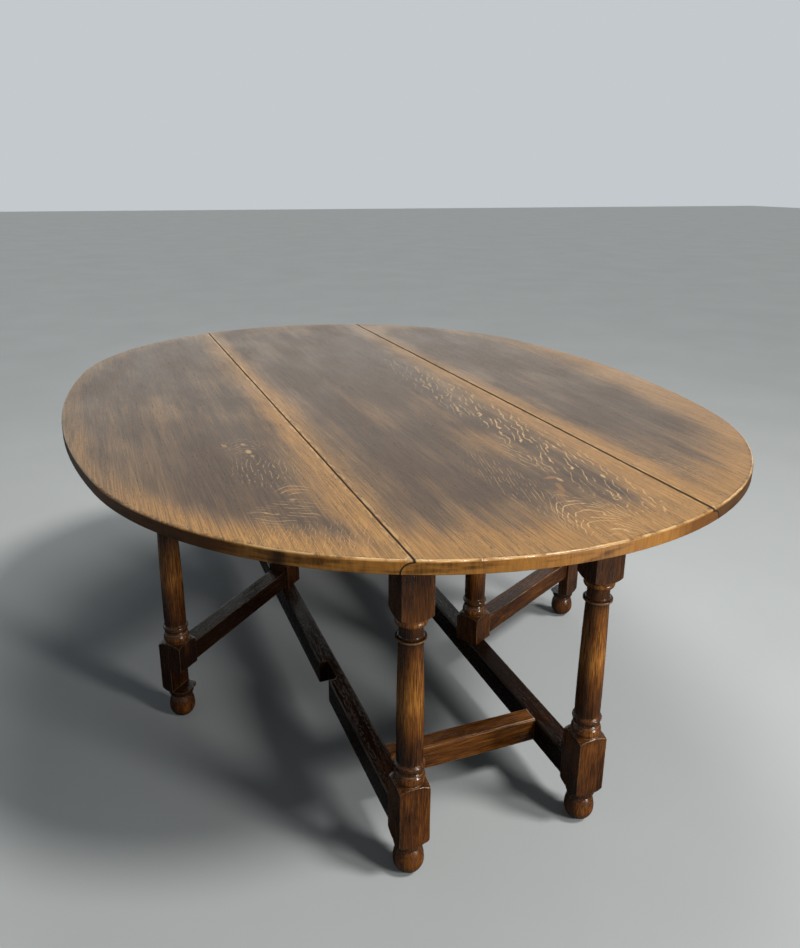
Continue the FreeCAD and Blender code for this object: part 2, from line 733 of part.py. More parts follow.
# Centre board
def centre_board():
    body = piece("centre_board")
    oval_board(body)
    sketch = sketch_on(body, "joints", "XZ_Plane")
    tip = "jointX + ruleRadius"
    high = "tableHigh + overrun"
    low = "boardUnder - overrun"
    outline(sketch, [
        ("jointX", high),
        ("jointX", "pinHigh + ruleRadius"),
        (tip, "pinHigh", "ruleRadius", 1),
        (tip, low),
        ("topWide", low),
        ("topWide", high),
    ])
    outline(sketch, [
        ("-topWide", high),
        ("-topWide", low),
        ("-(" + tip + ")", low),
        ("-(" + tip + ")", "pinHigh"),
        ("-jointX", "pinHigh + ruleRadius", "ruleRadius", 1),
        ("-jointX", high),
    ])
    extrude(body, "joints", sketch, "topLong + overrun", True)
    flaps = []
    knuckles = []
    paths = []
    for sign in (-1, 1):
        flaps += hinge_spans(sign, ("jointX - flapFixedLong - recessGap", "jointX"))
        knuckles += hinge_spans(sign, about("jointX", "knuckleRadius + hingeRelief"))
        paths += hinge_spans(sign, ("jointX", tip + " + overrun"))
    blocks(body, "flap_recesses", flaps, (low, "boardUnder + flapThick + recessGap"), True)
    blocks(body, "knuckle_grooves", knuckles, (low, "pinHigh + knuckleRadius + hingeRelief"), True)
    blocks(body, "flap_paths", paths, (low, "boardUnder + flapThick + flapLift"), True)
    holes = hinge_screw_places("left", fixed_screws) + hinge_screw_places("right", fixed_screws)
    pegs(body, "hinge_pilots", holes, "screwRadius + screwGap",
         (low, "boardUnder + flapScrewLong + screwGap"), True)
    pegs(body, "button_pilots", button_screw_places, "screwRadius + screwGap",
         (low, "boardUnder - buttonDeep + buttonScrewLong + screwGap"), True)


stop_places = [("stopX - stopScrewSpread", "stopY - stopWide / 2"), ("stopX + stopScrewSpread", "stopY - stopWide / 2")]


# Leaves, drawn on the right
def leaf(side):
    turn = "0" if side == "right" else "180"
    body = piece("leaf_" + side, "0", "0", turn)
    oval_board(body)
    sketch = sketch_on(body, "joint", "XZ_Plane")
    high = "tableHigh + overrun"
    low = "boardUnder - overrun"
    outline(sketch, [
        ("-topWide", high),
        ("-topWide", low),
        ("jointX + coveRadius", low),
        ("jointX + coveRadius", "pinHigh"),
        ("jointX + ruleCrack", "coveTop", "coveRadius", -1),
        ("jointX + ruleCrack", high),
    ])
    extrude(body, "joint", sketch, "topLong + overrun", True)
    blocks(body, "flap_recesses", hinge_spans(1, ("jointX + ruleRadius", "jointX + flapMovingLong + recessGap")),
           (low, "boardUnder + flapThick + recessGap"), True)
    pegs(body, "hinge_pilots", hinge_screw_places("right", moving_screws), "screwRadius + screwGap",
         (low, "boardUnder + flapScrewLong + screwGap"), True)
    pegs(body, "stop_pilots", stop_places, "screwRadius + screwGap",
         (low, "boardUnder - stopDeep + stopScrewLong + screwGap"), True)
    screws("hinge_screws_leaf_" + side, hinge_screw_places("right", moving_screws), "boardUnder",
           "flapScrewLong", turn)

    stop = piece("gate_stop_" + side, "0", "0", turn)
    block(stop, "body", about("stopX", "stopLong / 2"), ("stopY - stopWide", "stopY"),
          ("boardUnder - stopDeep", "boardUnder"))
    screw_seats(stop, stop_places, "boardUnder - stopDeep", "boardUnder + overrun")
    screws("gate_stop_screws_" + side, stop_places, "boardUnder - stopDeep", "stopScrewLong", turn)


# The whole table
centre_board()
for each_side in ("left", "right"):
    leaf(each_side)
    long_stretcher(each_side)
    side_rail(each_side)
    gate(each_side)
    for each_spot in hinge_places:
        hinge(each_side, each_spot)
    for each_end in ("front", "back"):
        leg(each_end, each_side)
for each_end in ("front", "back"):
    cross_stretcher(each_end)
    end_rail(each_end)
for each_spot in button_faces:
    top_button(each_spot)
board_screws = hinge_screw_places("left", fixed_screws) + hinge_screw_places("right", fixed_screws)
screws("hinge_screws_centre_board", board_screws, "boardUnder", "flapScrewLong")
screws("top_button_screws", button_screw_places, "boardUnder - buttonDeep", "buttonScrewLong")

doc.recompute()
failed = [item.Name for item in doc.Objects if "Invalid" in item.State or "Error" in item.State]
broken = [body.Name for body in parts if body.Shape.isNull() or not body.Shape.isValid()]
if failed or broken:
    raise SystemExit("failed: " + str(failed) + " broken: " + str(broken))
os.makedirs("parts", exist_ok=True)
for body in parts:
    body.Shape.exportStep(os.path.join("parts", body.Label + ".step"))
    print(body.Label, len(body.Shape.Solids), round(body.Shape.Volume))
print(len(parts), "nodes")
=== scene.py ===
import math

import bpy
from mathutils import Matrix, Vector


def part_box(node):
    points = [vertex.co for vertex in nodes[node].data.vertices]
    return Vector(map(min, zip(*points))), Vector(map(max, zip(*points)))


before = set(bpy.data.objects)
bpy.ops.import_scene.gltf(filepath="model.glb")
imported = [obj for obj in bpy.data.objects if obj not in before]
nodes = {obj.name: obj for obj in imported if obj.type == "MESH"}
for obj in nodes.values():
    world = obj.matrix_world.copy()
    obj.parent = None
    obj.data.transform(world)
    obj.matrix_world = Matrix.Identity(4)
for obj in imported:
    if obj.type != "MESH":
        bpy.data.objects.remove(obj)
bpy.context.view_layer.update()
print("frame loaded,", len(nodes), "pieces")


def colour(hexCode):
    # sRGB hex to the linear values that the shaders take
    parts = [int(hexCode[k:k + 2], 16) / 255 for k in (1, 3, 5)]
    return [c / 12.92 if c <= 0.04045 else ((c + 0.055) / 1.055) ** 2.4 for c in parts] + [1.0]


def add(tree, kind, *feeds, stops=(), **settings):
    # one node: feeds fill its sockets in order, settings are its options or its sockets by name
    node = tree.nodes.new("ShaderNode" + kind)
    for name, setting in settings.items():
        if name not in node.inputs:
            setattr(node, name, setting)
    wires = list(zip([socket for socket in node.inputs if socket.enabled], feeds))
    wires += [(node.inputs[name], setting) for name, setting in settings.items() if name in node.inputs]
    for socket, feed in wires:
        if isinstance(feed, bpy.types.Node):
            feed = [out for out in feed.outputs if out.enabled][0]
        if isinstance(feed, bpy.types.NodeSocket):
            tree.links.new(feed, socket)
        else:
            socket.default_value = feed
    for k, (place, shade) in enumerate(stops):
        elements = node.color_ramp.elements
        element = elements[k] if k < 2 else elements.new(place)
        element.position = place
        element.color = colour(shade) if isinstance(shade, str) else (shade, shade, shade, 1)
    return node


def newMaterial(name):
    material = bpy.data.materials.new(name)
    material.use_nodes = True
    material.node_tree.nodes.clear()
    return material, material.node_tree


def finishMaterial(tree, base, roughness, height, depth, normal=None, **shell):
    # the last stretch of every material: a bump of real depth, the shader and the output
    bump = add(tree, "Bump", Strength=1.0, Distance=depth, Height=height)
    if normal:
        tree.links.new(normal.outputs[0], bump.inputs["Normal"])
    shader = add(tree, "BsdfPrincipled", base, Roughness=roughness, Normal=bump, **shell)
    add(tree, "OutputMaterial", shader)


def dressNode(name, material):
    mesh = nodes[name].data
    mesh.materials.clear()
    mesh.materials.append(material)
    for face in mesh.polygons:
        face.material_index = 0


def woodGrain(tree, cell, turn, shift, detail, rough=0.55):
    # streaks of the given length, width and depth in metres, lying the way that turn points
    place = add(tree, "TexCoord").outputs["Object"]
    spot = add(tree, "Mapping", place, shift, turn, cell, vector_type="TEXTURE")
    return add(tree, "TexNoise", spot, Scale=1.0, Detail=detail, Roughness=rough)


# The top: quarter-sawn oak under a satin oil varnish, stained dark and rubbed through to honey at the edges.
# Its sheen is soft and even. Real pores are 0.3 mm wide and grain lines 1 mm apart: both are drawn
# two to four times as coarse, so that they show at the size of the picture.
topOak = {
    "gold": "#a77b40",
    "honey": "#946d3d",
    "brown": "#70563a",
    "dusk": "#4f3b2b",
    "fleck": "#d6b079",
    "amber": "#9c6f40",
    "pore": "#372413",
    "dirt": "#24170c",
    "edge": "#a87434",
    "edgeStain": {"leaf_left": "#69401b", "centre_board": "#69401b", "leaf_right": "#563b1c"},
    "endGrain": "#3c210d",
    "arris": "#c9a572",
    "under": "#5f452c",
    "high": 0.742,
    "halfLong": 0.959,
    "endArc": (0.276, 0.683),               # how far along its middle lies, and its radius
    "sideArc": (1.1377, 1.8537),            # how far back across its middle lies, and its radius
    "joint": 0.260,
    "knuckleHigh": 0.720,                   # the rule joint turns about this line
    "ruleRadius": 0.0183,
    "lineGrain": (0.090, 0.0024, 0.010),    # length, width and depth of one grain streak
    "lineTone": (0.58, 1.32),               # how dark and how light the grain lines come out
    "poreGrain": (0.009, 0.0011, 0.004),
    "poreRows": (0.40, 0.006, 0.05),
    "poreShare": 0.58,
    "streak": (0.60, 0.020, 0.10),
    "streakPush": 0.30,                     # how far the streaks push the edge of a worn place about
    "cloud": (0.26, 0.09, 0.20),
    "cloudPush": 0.55,
    "stainSpread": 0.34,                    # how far streaks and clouds change the stain
    "rayWave": (0.050, 0.030, 0.05),
    "rayLine": (0.13, 0.03),                # half width of a ray's line, faded and full, in spacings
    "lipPatch": (0.025, 0.006, 0.05),
    "lipReach": (0.0090, 0.0062),           # how far from the joint a pale lip ends, and is full
    "crackWide": (0.0036, 0.0056),
    "crackCore": 0.0022,
    "leftCrack": 0.60,                      # the left joint is shut tighter than the right one
    "crackFloor": (0.7370, 0.7378),         # heights between which the dirt of a crack sets in
    "ruleLine": (0.0017, 0.0006),           # half width of the dirt round the rule joint, faded and full
    "endGrainCell": (0.0045, 0.060, 0.030),
    "grimeCell": (0.09, 0.09, 0.012),
    "faceDrop": (0.0012, 0.0034),           # how far below the top the rim face begins, and is full
    "arrisDrop": (0.0034, 0.0010),
    "arrisPatch": (0.05, 0.05, 0.05),
    "dustCell": (0.009, 0.009, 0.05),
    "dustReach": (0.0085, 0.0045),          # how far inside the rim the caught dust ends, and is full
    "roughness": 0.31,
    "specular": 0.36,
    "bumpDepth": 0.00016,
}

# Stain left darker and lighter by patches: x, y, half width, half length, strength
topPatches = {
    "leaf_left": [
        (-0.52, -0.03, 0.045, 0.13, -0.17),
        (-0.42, -0.42, 0.120, 0.20, 0.08),
        (-0.35, 0.28, 0.050, 0.19, -0.17),
        (-0.47, 0.50, 0.070, 0.17, 0.16),
        (-0.40, -0.24, 0.045, 0.09, 0.12),
        (-0.335, -0.61, 0.024, 0.045, -0.12),
        (-0.300, -0.71, 0.022, 0.070, -0.38),
        (-0.37, -0.75, 0.050, 0.05, 0.10),
        (-0.68, -0.18, 0.020, 0.10, -0.18),
    ],
    "centre_board": [
        (0.00, 0.92, 0.220, 0.12, -0.22),
        (-0.10, 0.56, 0.100, 0.13, -0.10),
        (0.00, 0.30, 0.035, 0.22, 0.10),
        (0.06, -0.20, 0.035, 0.14, -0.15),
        (-0.04, -0.80, 0.050, 0.045, -0.26),
        (-0.13, -0.62, 0.035, 0.09, -0.12),
        (0.02, 0.05, 0.120, 0.40, 0.09),
        (0.12, 0.45, 0.070, 0.28, 0.19),
        (-0.14, -0.22, 0.045, 0.24, 0.10),
        (-0.065, -0.15, 0.024, 0.15, -0.18),
        (0.065, -0.46, 0.055, 0.10, -0.36),
        (-0.08, -0.50, 0.080, 0.20, 0.14),
        (0.03, -0.70, 0.120, 0.05, 0.14),
        (0.185, -0.47, 0.030, 0.26, -0.16),
        (0.12, -0.84, 0.045, 0.05, 0.18),
        (-0.13, -0.78, 0.035, 0.05, -0.20),
    ],
    "leaf_right": [
        (0.45, -0.32, 0.110, 0.22, 0.13),
        (0.42, -0.64, 0.090, 0.10, -0.05),
        (0.34, -0.76, 0.060, 0.08, -0.26),
        (0.36, 0.80, 0.100, 0.06, -0.18),
    ],
}

# The border worn pale along the rim: y, how far in it reaches, and how fully it is worn
rimBands = {
    "leaf_left": [(-0.92, 0.085, 0.9), (-0.76, 0.075, 1.0), (-0.60, 0.062, 0.80), (-0.40, 0.040, 0.52),
                  (-0.20, 0.034, 0.48), (0.90, 0.040, 0.45)],
    "centre_board": [(-0.95, 0.120, 0.9), (-0.50, 0.120, 0.9), (0.50, 0.045, 0.25), (0.95, 0.045, 0.25)],
    "leaf_right": [(-0.90, 0.110, 0.9), (-0.70, 0.105, 0.85), (-0.40, 0.115, 0.84), (0.00, 0.122, 0.79),
                   (0.30, 0.088, 0.72), (0.55, 0.058, 0.48), (0.75, 0.050, 0.38)],
}

# The same beside each joint
jointBands = {
    "leaf_left": [(-0.80, 0.056, 1.0), (-0.45, 0.062, 1.0), (-0.10, 0.062, 1.0), (0.10, 0.046, 0.75),
                  (0.40, 0.050, 0.78), (0.80, 0.044, 0.65)],
    "leaf_right": [(-0.80, 0.060, 1.0), (-0.45, 0.062, 1.0), (-0.20, 0.052, 0.92), (0.10, 0.042, 0.65),
                   (0.80, 0.042, 0.42)],
    "centre_left": [(-0.80, 0.042, 0.55), (-0.30, 0.044, 0.80), (-0.05, 0.044, 0.94), (0.30, 0.042, 0.84),
                    (0.80, 0.040, 0.50)],
    "centre_right": [(-0.85, 0.078, 1.0), (-0.30, 0.072, 1.0), (-0.05, 0.060, 1.0), (0.30, 0.054, 0.86),
                     (0.50, 0.050, 0.72), (0.85, 0.044, 0.38)],
}

# Where the medullary rays show: x, y, half width, half length, shape, lean of the lines in degrees,
# spacing, how far they wave, in spacings, length of one fleck, how far they are broken up, and strength
topFlecks = {
    "leaf_left": [
        (-0.385, -0.480, 0.055, 0.090, "rows", 80, 0.010, 0.9, 0.018, 0.50, 0.38),
        (-0.385, -0.680, 0.055, 0.050, "rows", 150, 0.011, 0.9, 0.050, 0.44, 0.43),
        (-0.352, -0.588, 0.028, 0.022, "arches", 22, 0.018, 0.3, 0.060, 0.34, 0.50),
        (-0.385, -0.325, 0.045, 0.045, "arches", 26, 0.014, 0.9, 0.030, 0.46, 0.38),
        (-0.400, -0.800, 0.150, 0.070, "rows", 70, 0.0065, 1.0, 0.016, 0.50, 0.35),
    ],
    "centre_board": [
        (0.168, -0.280, 0.064, 0.640, "rows", 73, 0.0135, 1.0, 0.060, 0.48, 0.78),
        (0.058, -0.860, 0.056, 0.078, "arches", 25, 0.018, 1.0, 0.045, 0.43, 0.80),
        (0.012, -0.700, 0.042, 0.190, "rows", 76, 0.0065, 0.7, 0.035, 0.49, 0.45),
        (0.098, -0.580, 0.024, 0.100, "rows", 98, 0.011, 0.8, 0.030, 0.49, 0.52),
        (0.135, -0.860, 0.026, 0.075, "rows", 84, 0.0100, 1.2, 0.024, 0.50, 0.60),
    ],
    "leaf_right": [
        (0.625, 0.100, 0.030, 0.360, "rows", 60, 0.012, 1.0, 0.030, 0.56, 0.30),
        (0.330, -0.700, 0.060, 0.120, "rows", 108, 0.010, 1.0, 0.022, 0.54, 0.30),
    ],
}

# Single marks in the figure: x, y, half width, half length, lean in degrees, which colour, strength
topMarks = {
    "leaf_left": [
        (-0.381, -0.365, 0.0060, 0.0130, 0, "fleck", 0.50),
        (-0.383, -0.318, 0.0050, 0.0080, 0, "fleck", 0.38),
        (-0.419, -0.314, 0.0035, 0.0100, 12, "fleck", 0.32),
        (-0.379, -0.393, 0.0050, 0.0080, 0, "fleck", 0.28),
        (-0.352, -0.590, 0.0130, 0.0140, 0, "amber", 0.36),
        (-0.362, -0.632, 0.0060, 0.0045, 0, "fleck", 0.36),
        (-0.2665, -0.9000, 0.0045, 0.0050, 0, "fleck", 0.70),
    ],
    "centre_board": [
        (0.089, -0.690, 0.0110, 0.0070, 0, "amber", 0.60),
        (0.099, -0.704, 0.0035, 0.0100, 0, "fleck", 0.50),
        (0.081, -0.733, 0.0050, 0.0260, -14, "amber", 0.52),
        (0.065, -0.762, 0.0050, 0.0180, -14, "amber", 0.42),
        (0.087, -0.711, 0.0055, 0.0085, 0, "dusk", 0.80),
        (0.2545, -0.9020, 0.0045, 0.0045, 0, "pore", 0.70),
    ],
    "leaf_right": [
        (0.2665, -0.8990, 0.0045, 0.0045, 0, "fleck", 0.85),
    ],
}

# Burnt-looking blots on the rim face: x, y and reach
rimBlots = {
    "leaf_left": [(-0.440, -0.818, 0.018), (-0.485, -0.778, 0.010)],
    "centre_board": [],
    "leaf_right": [],
}

# Rim face: how far along the stain begins to be rubbed off and is all gone, how fully that happens, and
# how pale the arris is painted where the stain is left, as a painted highlight line along it
rimGold = {
    "leaf_left": (0.700, 0.800, 1.0, 0.15),
    "centre_board": (0.300, 0.500, 1.0, 0.15),
    "leaf_right": (0.800, 0.900, 0.25, 0.90),
}


alongBoard = (0, 0, math.radians(90))
throughBoard = 1000    # metres: a pattern as deep as this is the same all through a board


def softOval(tree, centreX, centreY, halfWide, halfLong, ragged, fade=(1.55, 0.35)):
    # 1 inside an oval on the board, fading to 0 outside it
    place = add(tree, "TexCoord").outputs["Object"]
    spot = add(tree, "Mapping", place, (centreX, centreY, 0), (0, 0, 0), (halfWide, halfLong, throughBoard),
               vector_type="TEXTURE")
    reach = add(tree, "VectorMath", spot, operation="LENGTH")
    reach = add(tree, "Math", reach, ragged, operation="ADD")
    return add(tree, "MapRange", reach, fade[0], fade[1], 0.0, 1.0, interpolation_type="SMOOTHSTEP")


def wearBand(tree, y, distance, wander, band):
    # how far a border is worn, from its distance and a band whose reach and strength change along the board
    level = add(tree, "MapRange", y, -topOak["halfLong"], topOak["halfLong"], 0.0, 1.0)
    spots = [0.5 + row[0] / topOak["halfLong"] / 2 for row in band]
    reach = add(tree, "ValToRGB", level, stops=[(spot, row[1]) for spot, row in zip(spots, band)])
    strength = add(tree, "ValToRGB", level, stops=[(spot, row[2]) for spot, row in zip(spots, band)])
    share = add(tree, "Math", distance, reach, operation="DIVIDE")
    share = add(tree, "Math", share, wander, operation="ADD")
    share = add(tree, "MapRange", share, 0.25, 1.55, 1.0, 0.0, interpolation_type="SMOOTHSTEP")
    return add(tree, "Math", share, strength, operation="MULTIPLY")


def inwardFromRim(tree, awayX, upBoard):
    # distance inside the oval, which is four arcs: one round each end and one along each side
    endMiddle, endRadius = topOak["endArc"]
    sideMiddle, sideRadius = topOak["sideArc"]
    quarter = add(tree, "CombineXYZ", awayX, upBoard)
    endOut = add(tree, "VectorMath", quarter, (0, endMiddle, 0), operation="DISTANCE")
    sideOut = add(tree, "VectorMath", quarter, (-sideMiddle, 0, 0), operation="DISTANCE")
    steepness = add(tree, "Math", awayX, sideMiddle, operation="ADD")
    steepness = add(tree, "Math", upBoard, steepness, operation="DIVIDE")
    pastSide = add(tree, "Math", steepness, endMiddle / sideMiddle, operation="GREATER_THAN")
    sideIn = add(tree, "Math", sideRadius, sideOut, operation="SUBTRACT")
    endIn = add(tree, "Math", endRadius, endOut, operation="SUBTRACT")
    return add(tree, "Mix", pastSide, sideIn, endIn)


def wornShare(tree, board, x, y, inward, fromJoint, wander):
    # borders worn pale along the oval rim and beside the joints, their edges pushed about by the streaks
    rimWear = wearBand(tree, y, inward, wander, rimBands[board])
    if board == "centre_board":
        leftWear = wearBand(tree, y, fromJoint, wander, jointBands["centre_left"])
        rightWear = wearBand(tree, y, fromJoint, wander, jointBands["centre_right"])
        rightSide = add(tree, "MapRange", x, -0.01, 0.01, 0.0, 1.0)
        jointWear = add(tree, "Mix", rightSide, leftWear, rightWear)
    else:
        jointWear = wearBand(tree, y, fromJoint, wander, jointBands[board])
    return add(tree, "Math", rimWear, jointWear, operation="MAXIMUM")


def stainShare(tree, board, y, streak, cloud, wander, worn):
    # stain: fuller towards the far end, darker and lighter by patches, and gone where it is worn
    spread = topOak["stainSpread"]
    stain = add(tree, "MapRange", y, -0.25, 0.35, 0.85, 0.95)
    for pattern in (cloud, streak):
        change = add(tree, "MapRange", pattern, 0.0, 1.0, -spread, spread)
        stain = add(tree, "Math", change, stain, operation="ADD")
    for centreX, centreY, halfWide, halfLong, strength in topPatches[board]:
        oval = softOval(tree, centreX, centreY, halfWide, halfLong, wander)
        stain = add(tree, "Math", oval, strength, stain, operation="MULTIPLY_ADD")
    bare = add(tree, "MapRange", y, -0.85, -0.50, 0.05, 0.20)
    return add(tree, "Mix", worn, stain, bare)


def paintRays(tree, board, painted, clear, wander, shift):
    # medullary rays: wavy rows or arches of pale lines, broken into flecks
    place = add(tree, "TexCoord").outputs["Object"]
    for group in topFlecks[board]:
        centreX, centreY, halfWide, halfLong, shape, lean = group[:6]
        spacing, waving, dash, gaps, strength = group[6:]
        lies = (0, 0, math.radians(lean) if shape == "rows" else 0)
        spot = add(tree, "Mapping", place, (centreX, centreY, 0), lies, (spacing, spacing, throughBoard),
                   vector_type="TEXTURE")
        across, along = add(tree, "SeparateXYZ", spot).outputs[:2]
        if shape == "rows":
            rank = along
            grid = (dash, spacing * 0.9, 0.05)
        else:
            bowed = add(tree, "Math", across, across, operation="MULTIPLY")
            rank = add(tree, "Math", bowed, lean * spacing, along, operation="MULTIPLY_ADD")
            grid = (dash, dash * 0.4, 0.05)
        wave = woodGrain(tree, topOak["rayWave"], lies, (shift, 2, 0), 3.0, 0.50)
        wave = add(tree, "MapRange", wave, 0.0, 1.0, -1.5 * waving, 1.5 * waving)
        rank = add(tree, "Math", rank, wave, operation="ADD")
        contour = add(tree, "Math", rank, 0.5, operation="PINGPONG")
        line = add(tree, "MapRange", contour, *topOak["rayLine"], 0.0, 1.0, interpolation_type="SMOOTHSTEP")
        breaks = woodGrain(tree, grid, lies, (2, shift, 0), 1.0)
        broken = add(tree, "MapRange", breaks, gaps - 0.04, gaps + 0.05, 0.0, 1.0,
                     interpolation_type="SMOOTHSTEP")
        here = softOval(tree, centreX, centreY, halfWide, halfLong, wander, (1.25, 0.65))
        strong = add(tree, "Math", clear, strength, operation="MULTIPLY")
        share = add(tree, "Math", line, broken, operation="MULTIPLY")
        share = add(tree, "Math", share, here, operation="MULTIPLY")
        share = add(tree, "Math", share, strong, operation="MULTIPLY")
        painted = add(tree, "Mix", share, painted, colour(topOak["fleck"]), data_type="RGBA")
    return painted


def paintMarks(tree, board, painted, streakPush):
    # single marks, their outlines drawn out by the streaks
    place = add(tree, "TexCoord").outputs["Object"]
    for centreX, centreY, halfWide, halfLong, lean, shade, strength in topMarks[board]:
        spot = add(tree, "Mapping", place, (centreX, centreY, 0), (0, 0, math.radians(lean)),
                   (halfWide, halfLong, throughBoard), vector_type="TEXTURE")
        reach = add(tree, "VectorMath", spot, operation="LENGTH")
        reach = add(tree, "Math", streakPush, 1.6, reach, operation="MULTIPLY_ADD")
        share = add(tree, "MapRange", reach, 1.25, 0.55, 0.0, strength, interpolation_type="SMOOTHSTEP")
        painted = add(tree, "Mix", share, painted, colour(topOak[shade]), data_type="RGBA")
    return painted


def paintLips(tree, painted, fromJoint, shift):
    # lips of the joints, rubbed pale here and there
    patches = woodGrain(tree, topOak["lipPatch"], alongBoard, (shift, 5, 0), 2.0)
    lip = add(tree, "MapRange", patches, 0.46, 0.60, 0.0, 0.45, interpolation_type="SMOOTHSTEP")
    nearCrack = add(tree, "MapRange", fromJoint, *topOak["lipReach"], 0.0, 1.0)
    lip = add(tree, "Math", lip, nearCrack, operation="MULTIPLY")
    return add(tree, "Mix", lip, painted, colour(topOak["fleck"]), data_type="RGBA")


def jointDirtShare(tree, x, z, pastJoint, fromJoint, cloud):
    # dirt in the crack of each joint, and round the rule joint where it shows at the rim
    size = topOak
    sideways = add(tree, "Math", pastJoint, 2.0, operation="POWER")
    upward = add(tree, "Math", z, size["knuckleHigh"], operation="SUBTRACT")
    upward = add(tree, "Math", upward, 2.0, operation="POWER")
    pinReach = add(tree, "Math", sideways, upward, operation="ADD")
    pinReach = add(tree, "Math", pinReach, operation="SQRT")
    offRule = add(tree, "Math", pinReach, size["ruleRadius"], operation="SUBTRACT")
    offRule = add(tree, "Math", offRule, operation="ABSOLUTE")
    ruleDirt = add(tree, "MapRange", offRule, *size["ruleLine"], 0.0, 1.0)
    outside = add(tree, "MapRange", pastJoint, -0.0008, 0.0002, 0.0, 1.0)
    ruleDirt = add(tree, "Math", ruleDirt, outside, operation="MULTIPLY")
    narrowed = add(tree, "MapRange", x, -0.01, 0.01, size["leftCrack"], 1.0)
    crackWide = add(tree, "MapRange", cloud, 0.35, 0.65, *size["crackWide"])
    crackWide = add(tree, "Math", crackWide, narrowed, operation="MULTIPLY")
    crackCore = add(tree, "Math", narrowed, size["crackCore"], operation="MULTIPLY")
    crackDirt = add(tree, "MapRange", fromJoint, crackWide, crackCore, 0.0, 0.94)
    nearTop = add(tree, "MapRange", z, *size["crackFloor"], 0.0, 1.0)
    crackDirt = add(tree, "Math", crackDirt, nearTop, operation="MULTIPLY")
    return add(tree, "Math", ruleDirt, crackDirt, operation="MAXIMUM")


def rimFaceColour(tree, board, x, upBoard, streakPush, shift):
    # the rim face with its end grain and grime, stained or rubbed back, and how far it is rubbed back
    size = topOak
    goldStart, goldFull, goldShare = rimGold[board][:3]
    endTone = woodGrain(tree, size["endGrainCell"], (0, 0, 0), (shift, 0, 2), 3.0, 0.6)
    endTone = add(tree, "MapRange", endTone, 0.35, 0.70, 0.0, 0.30, interpolation_type="SMOOTHSTEP")
    grime = woodGrain(tree, size["grimeCell"], (0, 0, 0), (0, shift, 2), 3.0)
    grimeShare = add(tree, "MapRange", grime, 0.48, 0.66, 0.0, 0.55, interpolation_type="SMOOTHSTEP")
    edgeShare = add(tree, "Math", endTone, grimeShare, operation="ADD", use_clamp=True)
    along = add(tree, "MapRange", grime, 0.3, 0.7, -0.05, 0.05)
    along = add(tree, "Math", along, upBoard, operation="ADD")
    gilt = add(tree, "MapRange", along, goldStart, goldFull, 0.0, goldShare,
               interpolation_type="SMOOTHSTEP")
    nearJoint = add(tree, "MapRange", x, 0.130, 0.225, 1.0, 0.15, interpolation_type="SMOOTHSTEP")
    gilt = add(tree, "Math", gilt, nearJoint, operation="MULTIPLY")
    stained = colour(size["edgeStain"][board])
    painted = add(tree, "Mix", gilt, stained, colour(size["edge"]), data_type="RGBA")
    painted = add(tree, "Mix", edgeShare, painted, colour(size["endGrain"]), data_type="RGBA")
    for centreX, centreY, reach in rimBlots[board]:
        blot = softOval(tree, centreX, centreY, reach, reach, streakPush, (1.4, 0.8))
        blot = add(tree, "Math", blot, 0.85, operation="MULTIPLY")
        painted = add(tree, "Mix", blot, painted, colour(size["dirt"]), data_type="RGBA")
    return painted, gilt


